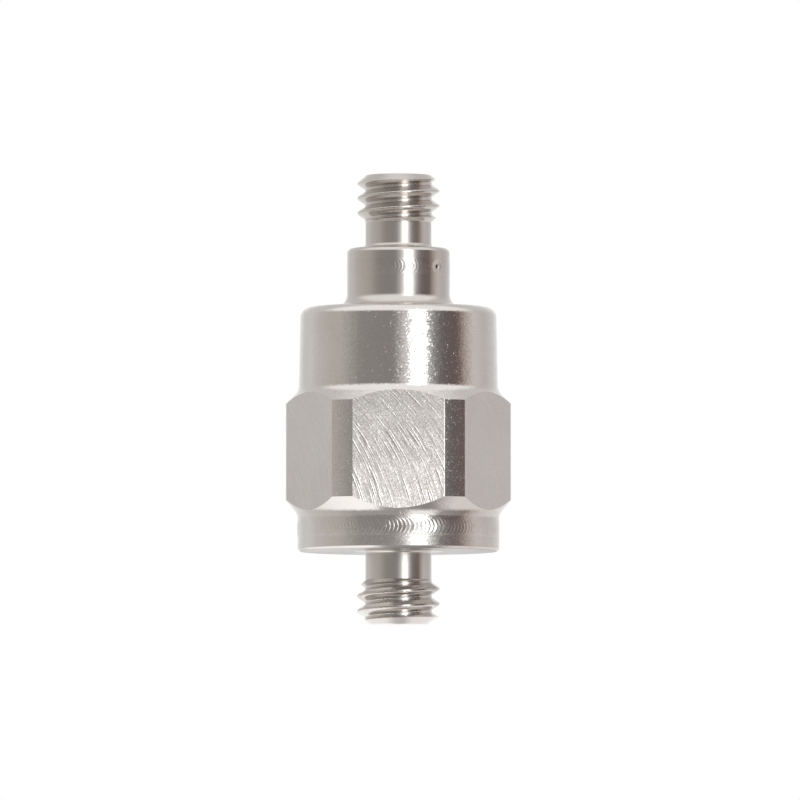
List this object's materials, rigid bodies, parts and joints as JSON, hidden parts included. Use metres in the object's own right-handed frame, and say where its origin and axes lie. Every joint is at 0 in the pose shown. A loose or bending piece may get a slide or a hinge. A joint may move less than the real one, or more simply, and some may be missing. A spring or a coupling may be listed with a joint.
{
  "type": "vibration sensor",
  "caption": "Miniature shear-type vibration sensor: welded round body with wrench flats, integral threaded mounting stud below and a threaded coaxial jack on top.",
  "frame": {"origin": "centre of the mounting face, where the stud leaves the base", "axes": "+Z along the sensing axis towards the jack, -Y square to one wrench flat"},
  "size_m": [0.0086, 0.008, 0.0174],
  "materials": {
    "body_metal": "satin turned and milled metal",
    "jack_metal": "bright turned metal",
    "seal_glass": "fused glass",
    "insulator_white": "smooth waxy polymer",
    "contact_gold": "gold plated",
    "crystal": "lapped crystal",
    "heavy_metal": "ground sintered alloy",
    "ring_alloy": "turned copper alloy",
    "board_ceramic": "unglazed alumina",
    "chip_black": "moulded epoxy",
    "resistor_body": "glazed film",
    "capacitor_body": "fired ceramic"
  },
  "bodies": {
    "root": {"base": "body_metal", "housing": "body_metal", "connector_shell": "jack_metal", "glass_seal": "seal_glass", "contact_insulator": "insulator_white", "contact_socket": "contact_gold", "crystal_1": "crystal", "crystal_2": "crystal", "crystal_3": "crystal", "seismic_mass_1": "heavy_metal", "seismic_mass_2": "heavy_metal", "seismic_mass_3": "heavy_metal", "preload_ring": "ring_alloy", "circuit_board": "board_ceramic", "amplifier_chip": "chip_black", "bias_resistor": "resistor_body", "feedback_resistor": "resistor_body", "range_capacitor": "capacitor_body", "signal_lead": "contact_gold", "ground_lead": "contact_gold", "output_lead": "contact_gold"}
  },
  "joints": []
}
